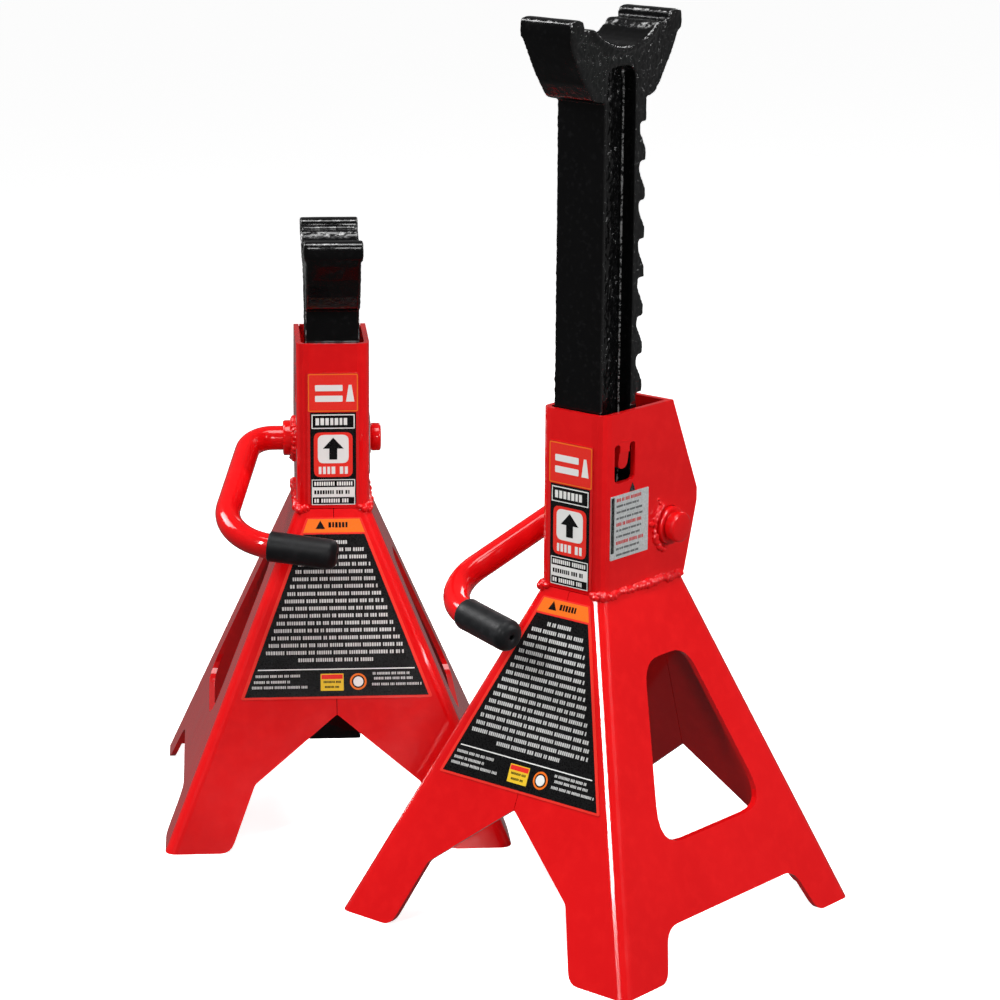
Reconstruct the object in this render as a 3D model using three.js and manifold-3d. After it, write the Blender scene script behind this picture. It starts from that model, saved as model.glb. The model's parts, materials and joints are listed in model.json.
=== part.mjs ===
// A matched pair of ratchet axle jack stands. Millimetres, +Z up, each stand's labelled front at its own -Y.
// One stand is drawn with its column down, the other, turned 45 degrees beside it, with its column raised.
import * as THREE from "three";
import { mergeVertices } from "three/addons/utils/BufferGeometryUtils.js";
import Module from "manifold-3d";

const wasm = await Module();
wasm.setup();

// ---- Driving dimensions ----
const SHEET = 2.5; // steel sheet of the base and the tower
const GAP = 0.3; // clearance between pieces that touch
const LABEL = { thickness: 0.35, gap: 0.1 };

const BASE = {
  height: 152.5,
  floor: { halfWidth: 82.5, front: -61, back: 106.5, bend: 5.5 },
  top: { halfWidth: 17.6, front: 0, back: 60, bend: 5.8 },
};
const LEG = { inner: 51.5, kneeX: 39.5, kneeZ: 30, apexZ: 60.5, footRound: 5 };
const SIDE_ARCH = { front: -31, back: 81, kneeFront: -21, kneeBack: 72, height: 20 };
const SIDE_WINDOW = { low: 50, high: 123, lowFront: -11, lowBack: 67.5, highFront: 16, highBack: 45.5 };

const TOWER = { halfWidth: 17.6, bottom: BASE.height + GAP, top: 233.5, bend: 6 };
// Back edge of the cheeks as [y, z], from the top down: it bulges out round the handle's pivot.
const TOWER_BACK = [
  [49.5, TOWER.top],
  [68.5, 190],
  [68.5, 184],
  [60, TOWER.bottom],
];
const TONGUE = { y: 15.5, width: 6.5, slot: 4, top: 219.5, tip: 208, slotBottom: 202.3, lean: 7 };

const PIVOT = { y: 48.3, z: 176.5 };
const BUSH = { radius: 8.7, bore: 6.3, inner: 12.4, leftEnd: 23.2, rightEnd: 20 };

const ROD_RADIUS = 6;
const ROD_HEAD_RADIUS = 6.9; // the rod's right end, upset after assembly so that it can't slide out
const ROD = { rightEnd: 25, cornerX: -38.8, elbowX: -55.5, tipX: 0.5, cornerRound: 13, elbowRound: 27 };
const ARM = { slope: 22.5, elbow: 81.5, tip: 95.2 }; // degrees below level, distances from the pivot's axis
const GRIP = { length: 33, radius: 7.2, dome: 4, end: 1.8, hole: 1.5 };

const PAWL = { halfWidth: 12, hub: 10.5, disengaged: 9.5 };
// The pawl's nose as [y, z, corner radius], where it sits in a tooth gap.
const PAWL_NOSE = [
  [29.3, 200.6],
  [29.3, 202, 0.6],
  [33.6, 204.8, 0.8],
  [37.4, 205.6, 2],
  [50.5, 185],
  [41, 178],
  [33.5, 193.3, 1],
];
const PIN = { radius: 2.3, wall: 0.8, slot: 1.2, length: 20 };

const COLUMN = { halfWidth: 13.1, front: 3.3, back: 32.7, bottom: 34.5 };
const GROOVE = { front: 5.8, back: 24.6, depth: 7, bottom: 69.5, belowTop: 22 };
const TOOTH = { pitch: 17, depth: 4, first: 47, count: 11, root: 3, ramp: 11.5 };
const SADDLE = {
  centre: 16.95,
  lowTop: 286,
  ledge: 4.6,
  cradle: 13.4,
  cradleHalf: 21.5,
  band: 3,
  flare: 1,
  shoulder: 35.5,
};
// The saddle's flank from the bar up to the cradle, as [distance from the middle, depth, corner radius].
const SADDLE_FLANK = [
  [13.75, 36.8, 1],
  [21.3, 35.4, 2],
  [26.9, 28],
  [32.3, 19.2],
  [36.4, 11.2],
  [37.9, 7.4],
];
const LIP = { centre: 33.4, halfWidth: 4.9, height: 9.4, round: 3.4 };

const TOWER_LABEL = { halfWidth: 12.4, low: 154.8, high: 219.5 };
const BASE_LABEL = { lowHalfWidth: 46, highHalfWidth: 13.2, low: 67.5, high: 148.5 };
const SIDE_LABEL = { front: 5.8, back: 32.4, low: 168.3, high: 197 };

const RAISED_TEETH = 7; // how many teeth the second stand's column is raised
const SECOND_STAND = { x: 98.8, y: -150, turn: -45 };

const CURVE_STEPS = 4; // segments in each rounded corner
const BEND_STEPS = 6; // segments in each bent edge of the base
const CAST_STEPS = 3; // segments in each rounded corner of the casting
const ROUND = 24; // segments round a bush or a grip

// ---- Materials ----
const redPaint = new THREE.MeshStandardMaterial({ color: 0xd8161b, roughness: 0.28, metalness: 0.1 });
const blackCasting = new THREE.MeshStandardMaterial({ color: 0x0c0c0d, roughness: 0.35, metalness: 0.2 });
const gripRubber = new THREE.MeshStandardMaterial({ color: 0x26272a, roughness: 0.6, metalness: 0 });
const bareSteel = new THREE.MeshStandardMaterial({ color: 0x9a9a98, roughness: 0.4, metalness: 0.9 });
const frontPrint = new THREE.MeshStandardMaterial({ color: 0x1a1718, roughness: 0.4, metalness: 0 });
const sidePrint = new THREE.MeshStandardMaterial({ color: 0xb9bcbb, roughness: 0.4, metalness: 0.3 });

// ---- Solids and booleans ----
function solid(geometry) {
  const bare = geometry.index ? geometry.toNonIndexed() : geometry.clone();
  bare.deleteAttribute("normal");
  bare.deleteAttribute("uv");
  const merged = mergeVertices(bare, 1e-4);
  return new wasm.Manifold(
    new wasm.Mesh({
      numProp: 3,
      vertProperties: new Float32Array(merged.attributes.position.array),
      triVerts: new Uint32Array(merged.index.array),
    }),
  );
}

function geometryOf(manifold) {
  const mesh = manifold.getMesh();
  const geometry = new THREE.BufferGeometry();
  geometry.setAttribute("position", new THREE.BufferAttribute(new Float32Array(mesh.vertProperties), 3));
  geometry.setIndex(new THREE.BufferAttribute(new Uint32Array(mesh.triVerts), 1));
  geometry.computeVertexNormals();
  return geometry;
}

const subtractAll = (body, tools) => tools.reduce((left, tool) => left.subtract(tool), body);

// ---- Outlines ----
// A closed outline through [u, v] or [u, v, radius] points, each radius rounding its corner.
function outline(points) {
  const shape = new THREE.Shape();
  points.forEach(([u, v, radius = 0], index) => {
    const corner = new THREE.Vector2(u, v);
    const before = points[(index + points.length - 1) % points.length];
    const after = points[(index + 1) % points.length];
    const toBefore = new THREE.Vector2(before[0] - u, before[1] - v).normalize().multiplyScalar(radius);
    const toAfter = new THREE.Vector2(after[0] - u, after[1] - v).normalize().multiplyScalar(radius);
    const start = corner.clone().add(toBefore);
    const end = corner.clone().add(toAfter);
    if (index === 0) shape.moveTo(start.x, start.y);
    else shape.lineTo(start.x, start.y);
    if (radius > 0) shape.quadraticCurveTo(u, v, end.x, end.y);
  });
  shape.closePath();
  return shape;
}

function discOutline(u, v, radius) {
  const shape = new THREE.Shape();
  shape.absarc(u, v, radius, 0, 2 * Math.PI, false);
  return shape;
}

// An outline drawn in (y, z) becomes a slab from x0 to x1.
function slabAlongX(shape, x0, x1, curveSegments = CURVE_STEPS) {
  const settings = { depth: x1 - x0, bevelEnabled: false, curveSegments };
  const toYZ = new THREE.Matrix4().set(0, 0, 1, x0, 1, 0, 0, 0, 0, 1, 0, 0, 0, 0, 0, 1);
  return new THREE.ExtrudeGeometry(shape, settings).applyMatrix4(toYZ);
}

// An outline drawn in (x, z) becomes a slab from y0 to y1.
function slabAlongY(shape, y0, y1, curveSegments = CURVE_STEPS) {
  const settings = { depth: y1 - y0, bevelEnabled: false, curveSegments };
  const toXZ = new THREE.Matrix4().set(1, 0, 0, 0, 0, 0, -1, y1, 0, 1, 0, 0, 0, 0, 0, 1);
  return new THREE.ExtrudeGeometry(shape, settings).applyMatrix4(toXZ);
}

// An outline drawn in (x, y) becomes a slab from z0 to z1.
function slabAlongZ(shape, z0, z1, curveSegments = CURVE_STEPS) {
  const settings = { depth: z1 - z0, bevelEnabled: false, curveSegments };
  return new THREE.ExtrudeGeometry(shape, settings).translate(0, 0, z0);
}

// A round tube on the X axis through (y, z).
function tubeAlongX(x0, x1, outer, bore, y, z) {
  const profile = [
    [bore, x0],
    [outer, x0],
    [outer, x1],
    [bore, x1],
    [bore, x0],
  ].map(([radius, x]) => new THREE.Vector2(radius, x));
  return new THREE.LatheGeometry(profile, ROUND).rotateZ(-Math.PI / 2).translate(0, y, z);
}

// ---- Base: a four-sided frustum of sheet, split down the middle of its front and back ----
// One level of the frustum, moved in by `inset`, as a ring of points that rounds its four corners.
function frustumRing(z, inset) {
  const t = z / BASE.height;
  const mix = (key) => THREE.MathUtils.lerp(BASE.floor[key], BASE.top[key], t);
  const halfWidth = mix("halfWidth") - inset;
  const front = mix("front") + inset;
  const back = mix("back") - inset;
  const bend = Math.max(mix("bend") - inset, 0.5);
  const ring = [];
  const corners = [
    [halfWidth - bend, back - bend, 0],
    [-halfWidth + bend, back - bend, 1],
    [-halfWidth + bend, front + bend, 2],
    [halfWidth - bend, front + bend, 3],
  ];
  for (const [x, y, quarter] of corners) {
    for (let step = 0; step <= BEND_STEPS; step++) {
      const angle = ((quarter + step / BEND_STEPS) * Math.PI) / 2;
      ring.push([x + bend * Math.cos(angle), y + bend * Math.sin(angle), z]);
    }
  }
  return ring;
}

function frustum(z0, z1, inset) {
  const low = frustumRing(z0, inset);
  const high = frustumRing(z1, inset);
  const count = low.length;
  const index = [];
  for (let i = 0; i < count; i++) {
    const next = (i + 1) % count;
    index.push(i, next, count + i, next, count + next, count + i);
  }
  for (let i = 1; i < count - 1; i++) {
    index.push(0, i + 1, i);
    index.push(count, count + i, count + i + 1);
  }
  const geometry = new THREE.BufferGeometry();
  geometry.setAttribute("position", new THREE.Float32BufferAttribute([...low, ...high].flat(), 3));
  geometry.setIndex(index);
  return geometry;
}

function baseShell() {
  const run = (BASE.floor.halfWidth - BASE.top.halfWidth) / BASE.height;
  const inset = SHEET * Math.hypot(1, run); // the walls slope, so the sheet measures more on the level
  const walls = solid(frustum(0, BASE.height, 0)).subtract(solid(frustum(-2, BASE.height + 2, inset)));
  const { inner, kneeX, kneeZ, apexZ, footRound } = LEG;
  const frontGap = outline([
    [-inner - footRound, -3],
    [inner + footRound, -3],
    [inner + footRound, 0],
    [inner, 0, footRound],
    [kneeX, kneeZ, 1.5],
    [0, apexZ, 1],
    [-kneeX, kneeZ, 1.5],
    [-inner, 0, footRound],
    [-inner - footRound, 0],
  ]);
  const arch = SIDE_ARCH;
  const sideGap = outline([
    [arch.front - footRound, -3],
    [arch.back + footRound, -3],
    [arch.back + footRound, 0],
    [arch.back, 0, footRound],
    [arch.kneeBack, arch.height, 7],
    [arch.kneeFront, arch.height, 7],
    [arch.front, 0, footRound],
    [arch.front - footRound, 0],
  ]);
  const window = SIDE_WINDOW;
  const sideWindow = outline([
    [window.lowFront, window.low, 18],
    [window.lowBack, window.low, 16],
    [window.highBack, window.high, 10],
    [window.highFront, window.high, 10],
  ]);
  const reach = 120;
  return subtractAll(walls, [
    solid(slabAlongY(frontGap, -reach, reach)),
    solid(slabAlongX(sideGap, -reach, reach, BEND_STEPS)),
    solid(slabAlongX(sideWindow, -reach, reach, BEND_STEPS)),
  ]);
}

function baseHalf(side) {
  const reach = 120;
  const keep = new THREE.BoxGeometry(reach, 3 * reach, 3 * reach);
  keep.translate(side * (reach / 2 + GAP / 2), 0, 0);
  return geometryOf(baseShell().intersect(solid(keep)));
}

// ---- Tower: a bent channel with a tongue in each cheek, closed by a bent back plate ----
function tongue() {
  const { y, width, top, tip, lean } = TONGUE;
  const half = width / 2;
  const shape = outline([
    [y - half, top + 1.5],
    [y - half, tip, half],
    [y + half, tip, half],
    [y + half, top + 1.5],
  ]);
  const plate = slabAlongX(shape, TOWER.halfWidth - SHEET, TOWER.halfWidth);
  const hinge = [TOWER.halfWidth - SHEET / 2, 0, top + 0.5];
  plate.translate(-hinge[0], -hinge[1], -hinge[2]);
  plate.rotateY(THREE.MathUtils.degToRad(lean));
  return plate.translate(...hinge);
}

function towerChannel() {
  const w = TOWER.halfWidth;
  const deep = 80;
  const plan = outline([
    [-w, deep],
    [-w, 0, TOWER.bend],
    [w, 0, TOWER.bend],
    [w, deep],
    [w - SHEET, deep],
    [w - SHEET, SHEET, TOWER.bend - SHEET],
    [-w + SHEET, SHEET, TOWER.bend - SHEET],
    [-w + SHEET, deep],
  ]);
  const cheek = outline([[-5, TOWER.bottom], [-5, TOWER.top], ...TOWER_BACK]);
  const bent = solid(slabAlongZ(plan, TOWER.bottom, TOWER.top));
  const channel = bent.intersect(solid(slabAlongX(cheek, -w - 1, w + 1)));
  const half = TONGUE.width / 2 + TONGUE.slot;
  const cutOut = outline([
    [TONGUE.y - half, TONGUE.slotBottom, 3],
    [TONGUE.y + half, TONGUE.slotBottom, 3],
    [TONGUE.y + half, TONGUE.top, 1.9],
    [TONGUE.y + half - TONGUE.slot, TONGUE.top, 1.9],
    [TONGUE.y + half - TONGUE.slot, TONGUE.top - 4],
    [TONGUE.y - half + TONGUE.slot, TONGUE.top - 4],
    [TONGUE.y - half + TONGUE.slot, TONGUE.top, 1.9],
    [TONGUE.y - half, TONGUE.top, 1.9],
  ]);
  const bushHole = discOutline(PIVOT.y, PIVOT.z, BUSH.radius + GAP);
  const open = subtractAll(channel, [
    solid(slabAlongX(cutOut, -w - 1, w + 1)),
    solid(slabAlongX(bushHole, -w - 1, w + 1, ROUND / 2)),
  ]);
  const right = tongue();
  const left = tongue().rotateZ(Math.PI).translate(0, 2 * TONGUE.y, 0);
  return geometryOf(open.add(solid(right)).add(solid(left)));
}

function towerBackPlate() {
  const level = 2.8; // the sheet's thickness measured level, along Y
  const inner = TOWER_BACK.map(([y, z]) => [y - level, z]).reverse();
  const half = TOWER.halfWidth - SHEET - GAP;
  return slabAlongX(outline([...TOWER_BACK, ...inner]), -half, half);
}

function pivotBush(x0, x1) {
  return tubeAlongX(x0, x1, BUSH.radius, BUSH.bore, PIVOT.y, PIVOT.z);
}

// ---- Ratchet column: bar, teeth and saddle in one casting, drawn with its top at z = `top` ----
function columnOutline(top) {
  const shape = [
    [COLUMN.front, top - SADDLE.shoulder],
    [COLUMN.front, top - SADDLE.lowTop + COLUMN.bottom],
    [COLUMN.back - TOOTH.depth, top - SADDLE.lowTop + COLUMN.bottom],
  ];
  for (let i = TOOTH.count - 1; i >= 0; i--) {
    const face = top - TOOTH.first - TOOTH.pitch * i;
    shape.push([COLUMN.back - TOOTH.depth, face - TOOTH.root - 1]);
    shape.push([COLUMN.back - TOOTH.depth, face, 1.5]);
    shape.push([COLUMN.back, face, 0.8]);
    const nextRamp = i > 0 ? face + TOOTH.pitch - TOOTH.ramp : top - SADDLE.shoulder;
    shape.push([COLUMN.back, nextRamp]);
  }
  return outline(shape);
}

function columnGroove(top) {
  const low = top - SADDLE.lowTop + GROOVE.bottom;
  return outline([
    [GROOVE.front, low, 3],
    [GROOVE.back, low, 3],
    [GROOVE.back, top - GROOVE.belowTop, 6],
    [GROOVE.front, top - GROOVE.belowTop, 6],
  ]);
}

// The saddle's side profile, symmetric about its middle. Heights count down from its top.
function saddleOutline(top) {
  const flank = [...SADDLE_FLANK, [LIP.centre, SADDLE.ledge], [SADDLE.cradleHalf, SADDLE.ledge]];
  const place = (side) => ([y, down, round]) => [SADDLE.centre + side * y, top - down, round];
  const cradle = cradlePoints(0).map(([y, down]) => [SADDLE.centre + y, top - down]);
  return outline([...flank.map(place(-1)).reverse(), ...flank.map(place(1)), ...cradle]);
}

// Points of the cradle's arc from back to front as [y, depth below the top], `under` lower than its surface.
function cradlePoints(under) {
  const rise = SADDLE.cradle - SADDLE.ledge;
  const radius = (SADDLE.cradleHalf ** 2 + rise ** 2) / (2 * rise);
  const half = Math.asin(SADDLE.cradleHalf / radius);
  const points = [];
  for (let step = 1; step < 12; step++) {
    const angle = half * (1 - step / 6);
    const y = (radius + under) * Math.sin(angle);
    points.push([y, SADDLE.cradle - radius + (radius + under) * Math.cos(angle)]);
  }
  return points;
}

function cradleBand(top) {
  const place = ([y, down]) => [SADDLE.centre + y, top - down];
  const upper = [[SADDLE.cradleHalf, SADDLE.ledge], ...cradlePoints(0), [-SADDLE.cradleHalf, SADDLE.ledge]];
  const lower = cradlePoints(SADDLE.band).reverse();
  const side = SADDLE.cradleHalf + SADDLE.band;
  return outline([...upper, [-side, SADDLE.ledge], ...lower, [side, SADDLE.ledge]].map(place));
}

function saddleLip(top, side) {
  const y = SADDLE.centre + side * LIP.centre;
  return outline([
    [y - LIP.halfWidth, top - LIP.height, LIP.round],
    [y + LIP.halfWidth, top - LIP.height, LIP.round],
    [y + LIP.halfWidth, top, LIP.round],
    [y - LIP.halfWidth, top, LIP.round],
  ]);
}

function ratchetColumn(top) {
  const half = COLUMN.halfWidth;
  const wide = half + SADDLE.flare;
  const grooveX = half - GROOVE.depth;
  const bar = solid(slabAlongX(columnOutline(top), -half, half, CAST_STEPS));
  const head = solid(slabAlongX(saddleOutline(top), -half, half, CAST_STEPS));
  const joined = bar
    .add(head)
    .add(solid(slabAlongX(cradleBand(top), -wide, wide)))
    .add(solid(slabAlongX(saddleLip(top, -1), -wide, wide)))
    .add(solid(slabAlongX(saddleLip(top, 1), -wide, wide)));
  const grooves = [
    solid(slabAlongX(columnGroove(top), grooveX, half + 5)),
    solid(slabAlongX(columnGroove(top), -half - 5, -grooveX)),
  ];
  return geometryOf(subtractAll(joined, grooves));
}

// ---- Handle: the pivot rod bent into an arm, its grip, the pawl and the roll pin through both ----
// A point of the handle's own plane: x, and the distance out from the pivot's axis along the arm.
function handlePoint(x, out) {
  const slope = THREE.MathUtils.degToRad(ARM.slope);
  return new THREE.Vector3(x, PIVOT.y - out * Math.cos(slope), PIVOT.z - out * Math.sin(slope));
}

const GRIP_DIRECTION = handlePoint(ROD.tipX, ARM.tip).sub(handlePoint(ROD.elbowX, ARM.elbow)).normalize();

// A path of straight runs whose corners are rounded by circular arcs.
function roundedPath(corners, radii) {
  const path = new THREE.CurvePath();
  let from = corners[0];
  for (let i = 1; i < corners.length - 1; i++) {
    const back = corners[i - 1].clone().sub(corners[i]).normalize();
    const on = corners[i + 1].clone().sub(corners[i]).normalize();
    const turn = Math.PI - back.angleTo(on);
    const tangent = radii[i - 1] * Math.tan(turn / 2);
    const handle = tangent - (4 / 3) * Math.tan(turn / 4) * radii[i - 1];
    const start = corners[i].clone().addScaledVector(back, tangent);
    const end = corners[i].clone().addScaledVector(on, tangent);
    path.add(new THREE.LineCurve3(from, start));
    path.add(
      new THREE.CubicBezierCurve3(
        start,
        corners[i].clone().addScaledVector(back, handle),
        corners[i].clone().addScaledVector(on, handle),
        end,
      ),
    );
    from = end;
  }
  path.add(new THREE.LineCurve3(from, corners[corners.length - 1]));
  return path;
}

function pinHole() {
  const hole = new THREE.CylinderGeometry(PIN.radius + GAP, PIN.radius + GAP, 60, 16);
  return solid(hole.translate(0, PIVOT.y, PIVOT.z));
}

function handleRod() {
  const tip = handlePoint(ROD.tipX, ARM.tip).addScaledVector(GRIP_DIRECTION, -GRIP.end - GAP);
  const rightEnd = handlePoint(ROD.rightEnd, 0);
  const corner = handlePoint(ROD.cornerX, 0);
  const elbow = handlePoint(ROD.elbowX, ARM.elbow);
  const path = roundedPath([rightEnd, corner, elbow, tip], [ROD.cornerRound, ROD.elbowRound]);
  const section = discOutline(0, 0, ROD_RADIUS);
  const rod = new THREE.ExtrudeGeometry(section, { steps: 44, curveSegments: 7, extrudePath: path });
  const headShape = discOutline(PIVOT.y, PIVOT.z, ROD_HEAD_RADIUS);
  const head = slabAlongX(headShape, BUSH.rightEnd + GAP, ROD.rightEnd, ROUND / 2);
  return geometryOf(solid(rod).add(solid(head)).subtract(pinHole()));
}

function handleGrip() {
  const { length, radius, dome, end, hole } = GRIP;
  const bore = ROD_RADIUS + GAP;
  const profile = [[hole, length]];
  profile.push([hole, length - end], [bore, length - end], [bore, 0], [radius - 0.5, 0], [radius, 0.5]);
  for (let step = 0; step <= 5; step++) {
    const angle = (step / 5) * (Math.PI / 2);
    profile.push([radius - dome + dome * Math.cos(angle), length - dome + dome * Math.sin(angle)]);
  }
  profile.push([hole, length]);
  const lathe = new THREE.LatheGeometry(
    profile.map(([r, along]) => new THREE.Vector2(r, along)),
    ROUND,
  );
  const upright = new THREE.Vector3(0, 1, 0);
  const turn = new THREE.Quaternion().setFromUnitVectors(upright, GRIP_DIRECTION);
  const start = handlePoint(ROD.tipX, ARM.tip).addScaledVector(GRIP_DIRECTION, -length);
  return lathe.applyQuaternion(turn).translate(start.x, start.y, start.z);
}

// The nose is drawn where it sits in a tooth gap, then swung back until it just clears the teeth.
function pawl() {
  const nose = outline(PAWL_NOSE);
  const hub = discOutline(PIVOT.y, PIVOT.z, PAWL.hub);
  const bore = discOutline(PIVOT.y, PIVOT.z, ROD_RADIUS + GAP);
  const reach = PAWL.halfWidth;
  const body = solid(slabAlongX(nose, -reach, reach)).add(solid(slabAlongX(hub, -reach, reach, ROUND / 2)));
  const bored = body.subtract(solid(slabAlongX(bore, -reach - 1, reach + 1, ROUND / 2)));
  const swung = geometryOf(bored).translate(0, -PIVOT.y, -PIVOT.z);
  swung.rotateX(-THREE.MathUtils.degToRad(PAWL.disengaged)).translate(0, PIVOT.y, PIVOT.z);
  return geometryOf(solid(swung).subtract(pinHole()));
}

// A rolled spring pin: a tube with a slot along it.
function pawlPin() {
  const half = PIN.slot / 2 / PIN.radius;
  const shape = new THREE.Shape();
  shape.absarc(0, 0, PIN.radius, half, 2 * Math.PI - half, false);
  shape.absarc(0, 0, PIN.radius - PIN.wall, 2 * Math.PI - half, half, true);
  shape.closePath();
  const settings = { depth: PIN.length, bevelEnabled: false, curveSegments: 6 };
  const tube = new THREE.ExtrudeGeometry(shape, settings).translate(0, 0, -PIN.length / 2);
  return tube.rotateX(Math.PI / 2).translate(0, PIVOT.y, PIVOT.z);
}

// ---- Printed labels ----
function towerLabel() {
  const { halfWidth, low, high } = TOWER_LABEL;
  const shape = outline([
    [-halfWidth, low, 1],
    [halfWidth, low, 1],
    [halfWidth, high, 1],
    [-halfWidth, high, 1],
  ]);
  return slabAlongY(shape, -LABEL.gap - LABEL.thickness, -LABEL.gap);
}

// Lies on the base's sloping front, drawn upright as [x, distance up the slope] and then leaned back.
function baseLabel() {
  const rise = BASE.height;
  const run = BASE.floor.front;
  const slope = Math.hypot(rise, run) / rise;
  const low = BASE_LABEL.low * slope;
  const high = BASE_LABEL.high * slope;
  const shape = outline([
    [-BASE_LABEL.lowHalfWidth, low, 1.5],
    [BASE_LABEL.lowHalfWidth, low, 1.5],
    [BASE_LABEL.highHalfWidth, high, 1],
    [-BASE_LABEL.highHalfWidth, high, 1],
  ]);
  const label = slabAlongY(shape, -LABEL.gap - LABEL.thickness, -LABEL.gap);
  return label.rotateX(Math.atan2(run, rise)).translate(0, run, 0);
}

function sideLabel() {
  const { front, back, low, high } = SIDE_LABEL;
  const shape = outline([
    [front, low, 0.5],
    [back, low, 0.5],
    [back, high, 0.5],
    [front, high, 0.5],
  ]);
  const face = TOWER.halfWidth + LABEL.gap;
  return slabAlongX(shape, face, face + LABEL.thickness);
}

// ---- Assembly ----
function jackStand(prefix, raised) {
  const top = SADDLE.lowTop + raised * TOOTH.pitch;
  const pieces = {
    base_shell_left: [baseHalf(-1), redPaint],
    base_shell_right: [baseHalf(1), redPaint],
    tower_channel: [towerChannel(), redPaint],
    tower_back_plate: [towerBackPlate(), redPaint],
    pivot_bush_left: [pivotBush(-BUSH.leftEnd, -BUSH.inner), redPaint],
    pivot_bush_right: [pivotBush(BUSH.inner, BUSH.rightEnd), redPaint],
    ratchet_column: [ratchetColumn(top), blackCasting],
    handle_rod: [handleRod(), redPaint],
    handle_grip: [handleGrip(), gripRubber],
    pawl: [pawl(), bareSteel],
    pawl_pin: [pawlPin(), bareSteel],
    tower_label: [towerLabel(), frontPrint],
    base_label: [baseLabel(), frontPrint],
    side_label: [sideLabel(), sidePrint],
  };
  const stand = new THREE.Group();
  for (const [name, [geometry, material]] of Object.entries(pieces)) {
    const mesh = new THREE.Mesh(geometry, material);
    mesh.name = `${prefix}_${name}`;
    stand.add(mesh);
  }
  return stand;
}

const pair = new THREE.Group();
const lowered = jackStand("a", 0);
const raised = jackStand("b", RAISED_TEETH);
raised.position.set(SECOND_STAND.x, SECOND_STAND.y, 0);
raised.rotation.z = THREE.MathUtils.degToRad(SECOND_STAND.turn);
pair.add(lowered, raised);

// The origin is on the floor, in the middle of the box round both stands.
const box = new THREE.Box3().setFromObject(pair, true);
const middle = box.getCenter(new THREE.Vector3());
pair.position.set(-middle.x, -middle.y, -box.min.z);

export default pair;
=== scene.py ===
"""A pair of ratchet axle jack stands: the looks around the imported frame.

Metres, +Z up, the frame's own axes.
"""

import json
import math
import random

import bmesh
import bpy
from mathutils import Euler, Matrix, Vector, noise


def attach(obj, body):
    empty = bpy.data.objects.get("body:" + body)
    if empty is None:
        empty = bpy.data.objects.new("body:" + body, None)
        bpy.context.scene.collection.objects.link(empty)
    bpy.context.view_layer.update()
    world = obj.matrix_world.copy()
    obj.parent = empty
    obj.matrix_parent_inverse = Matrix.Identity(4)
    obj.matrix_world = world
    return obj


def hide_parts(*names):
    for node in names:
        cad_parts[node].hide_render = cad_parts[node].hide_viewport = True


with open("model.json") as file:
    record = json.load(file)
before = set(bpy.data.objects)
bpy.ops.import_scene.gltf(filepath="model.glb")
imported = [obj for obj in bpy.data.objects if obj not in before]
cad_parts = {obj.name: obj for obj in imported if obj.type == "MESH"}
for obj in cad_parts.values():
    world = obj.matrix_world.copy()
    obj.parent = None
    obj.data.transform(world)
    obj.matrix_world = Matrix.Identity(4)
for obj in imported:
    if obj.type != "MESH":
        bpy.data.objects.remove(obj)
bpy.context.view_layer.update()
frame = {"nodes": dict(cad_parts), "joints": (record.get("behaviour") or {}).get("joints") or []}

MM = 0.001
STANDS = ("a", "b")

# ---- Sizes of one stand, in its own frame and in millimetres ----
# x goes across, y back from the front wall, and z up.
PIVOT = Vector((0, 48.3, 176.5))
BASE = {"height": 152.5, "front": -61, "half_width": 82.5, "back": 106.5}
BASE_TOP = {"front": 0, "half_width": 17.6, "back": 60}
TOWER = {"half_width": 17.6, "bottom": 152.8, "bend": 6}
# the inner corner of the column's groove, where a line of pale grey is painted as a highlight
GROOVE_CORNER = {"x": 6.1, "y": 24.6, "reach": 1.4}
# the beads that hold the back plate, as (y, z) ends, set a little inside the tower's outline
WELD_BACK = {"inward": 0.86, "depth": 0.6, "radius": 0.9}
WELD_BACK_RUNS = (("upper", ((49.9, 232), (67.8, 191))), ("lower", ((67.9, 183), (60.3, 155.5))))
BUSH = {"radius": 8.7, "bore": 6.15, "inner": 12.4, "left_end": 23.2, "right_end": 20}
ROD = {"radius": 6, "head": 6.9, "right_end": 25, "corner_x": -38.8, "elbow_x": -55.5, "tip_x": 0.5}
ROD_ROUND = {"corner": 13, "elbow": 27}
ARM = {"slope": 22.5, "elbow": 81.5, "tip": 95.2}
GRIP = {"length": 33, "radius": 7.2, "end": 1.8, "hole": 1.1, "dome": 4.2, "bore_gap": 0.15}
ROD_END_IN_GRIP = 9
# rounding of the edges of the CAD nodes that are shown
SHEET_EDGE = 0.55
PAWL_EDGE = 0.5
PIN_EDGE = 0.15
EDGE_SEGMENTS = 3
EDGE_ANGLE = 35
FLAT_ANGLE = 0.8
CAST_VOXEL = 0.6

# ---- Camera, light and floor, in metres, degrees and watts ----
CAMERA = {
    "location": (-0.12346, -1.4685, 0.5530),
    "azimuth": -4.829,
    "elevation": 14.417,
    "roll": 0.442,
    "lens": 118.78,
}
LIGHT_TARGET = (0, 0, 0.2)
LIGHTS = (
    # name, place, width and height, power, spread
    ("overhead", (0.05, -0.25, 1.5), (0.8, 0.7), 5.2, 120),
    ("front left", (-1.15, -1.45, 1.4), (0.16, 0.9), 1.6, 50),
    ("front", (0.15, -2.2, 0.75), (0.3, 0.3), 0.6, 50),
    ("right", (1.45, -0.8, 0.85), (0.22, 0.7), 1.5, 50),
    ("left rim", (-1.3, 0.5, 1.35), (0.8, 0.9), 3.4, 60),
    ("back", (0.9, 1.9, 1.3), (0.8, 0.8), 2.5, 90),
)
WORLD_STRENGTH = 0.12
FLOOR_GLOW = 0.86
FLOOR_PROFILE = ((0.001, 0), (2, 0), (5, 0), (6, 0.1), (7, 0.6), (7.7, 1.5), (8, 3), (8, 9))

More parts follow.
